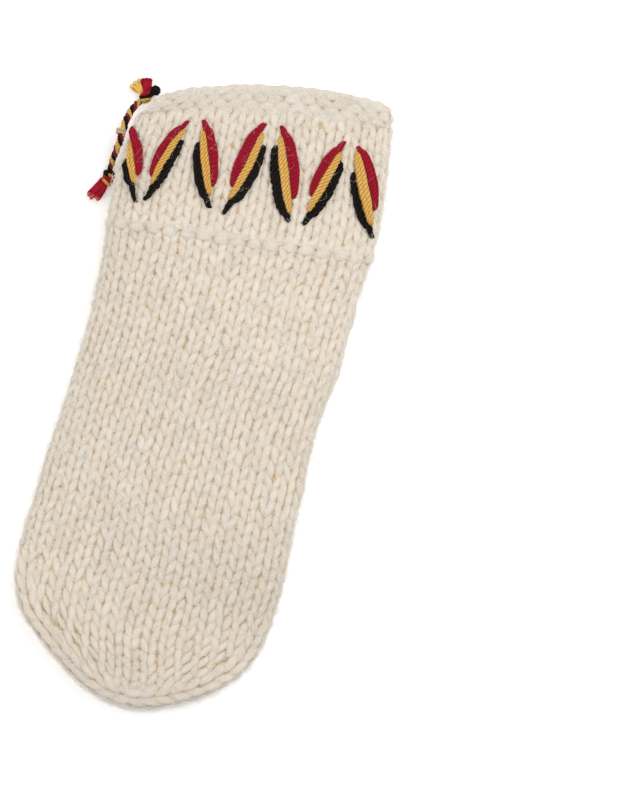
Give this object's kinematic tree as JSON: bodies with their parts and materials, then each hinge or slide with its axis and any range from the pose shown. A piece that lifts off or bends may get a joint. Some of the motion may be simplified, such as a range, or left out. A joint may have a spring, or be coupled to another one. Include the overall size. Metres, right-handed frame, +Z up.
{
  "type": "knitted mitten",
  "caption": "Thick hand-knitted wool mitten for the right hand, with slanted embroidery strokes round its cuff and a twisted tie cord, lying palm down and hollow for the hand and thumb.",
  "frame": {"origin": "under the middle of the mitten's outline, on the surface that it lies on; the tie cord is left out of that outline", "axes": "+Y from the fingertips to the cuff, +X across the back to the thumb's side, +Z up out of the back of the hand"},
  "size_m": [0.1286, 0.28, 0.0378],
  "materials": {
    "cream_wool": "bulky cream wool, plain knitting, soft halo of fibres",
    "ridge_wool": "bulky cream wool, purl bumps",
    "red_yarn": "plied wool yarn, crimson",
    "yellow_yarn": "plied wool yarn, golden yellow",
    "black_yarn": "plied wool yarn, black",
    "twisted_yarn": "red, yellow and black yarns twisted together"
  },
  "bodies": {
    "root": {"rim": "ridge_wool", "cuff_band": "cream_wool", "welt": "ridge_wool", "hand_base": "cream_wool", "hand": "cream_wool", "tip": "cream_wool", "thumb": "cream_wool", "stitch_back_1_red": "red_yarn", "stitch_back_1_yellow": "yellow_yarn", "stitch_back_1_black": "black_yarn", "stitch_back_2_red": "red_yarn", "stitch_back_2_yellow": "yellow_yarn", "stitch_back_2_black": "black_yarn", "stitch_back_3_red": "red_yarn", "stitch_back_3_yellow": "yellow_yarn", "stitch_back_3_black": "black_yarn", "stitch_back_4_red": "red_yarn", "stitch_back_4_yellow": "yellow_yarn", "stitch_back_4_black": "black_yarn", "stitch_back_5_red": "red_yarn", "stitch_back_5_yellow": "yellow_yarn", "stitch_back_5_black": "black_yarn", "stitch_back_6_red": "red_yarn", "stitch_back_6_yellow": "yellow_yarn", "stitch_back_6_black": "black_yarn", "stitch_back_7_red": "red_yarn", "stitch_back_7_yellow": "yellow_yarn", "stitch_back_7_black": "black_yarn", "stitch_palm_1_red": "red_yarn", "stitch_palm_1_yellow": "yellow_yarn", "stitch_palm_1_black": "black_yarn", "stitch_palm_2_red": "red_yarn", "stitch_palm_2_yellow": "yellow_yarn", "stitch_palm_2_black": "black_yarn", "stitch_palm_3_red": "red_yarn", "stitch_palm_3_yellow": "yellow_yarn", "stitch_palm_3_black": "black_yarn", "stitch_palm_4_red": "red_yarn", "stitch_palm_4_yellow": "yellow_yarn", "stitch_palm_4_black": "black_yarn", "stitch_palm_5_red": "red_yarn", "stitch_palm_5_yellow": "yellow_yarn", "stitch_palm_5_black": "black_yarn", "stitch_palm_6_red": "red_yarn", "stitch_palm_6_yellow": "yellow_yarn", "stitch_palm_6_black": "black_yarn", "stitch_palm_7_red": "red_yarn", "stitch_palm_7_yellow": "yellow_yarn", "stitch_palm_7_black": "black_yarn", "tie_cord": "twisted_yarn", "tie_loop": "cream_wool", "tie_top_tuft": "red_yarn", "tie_low_tuft": "red_yarn"}
  },
  "joints": []
}
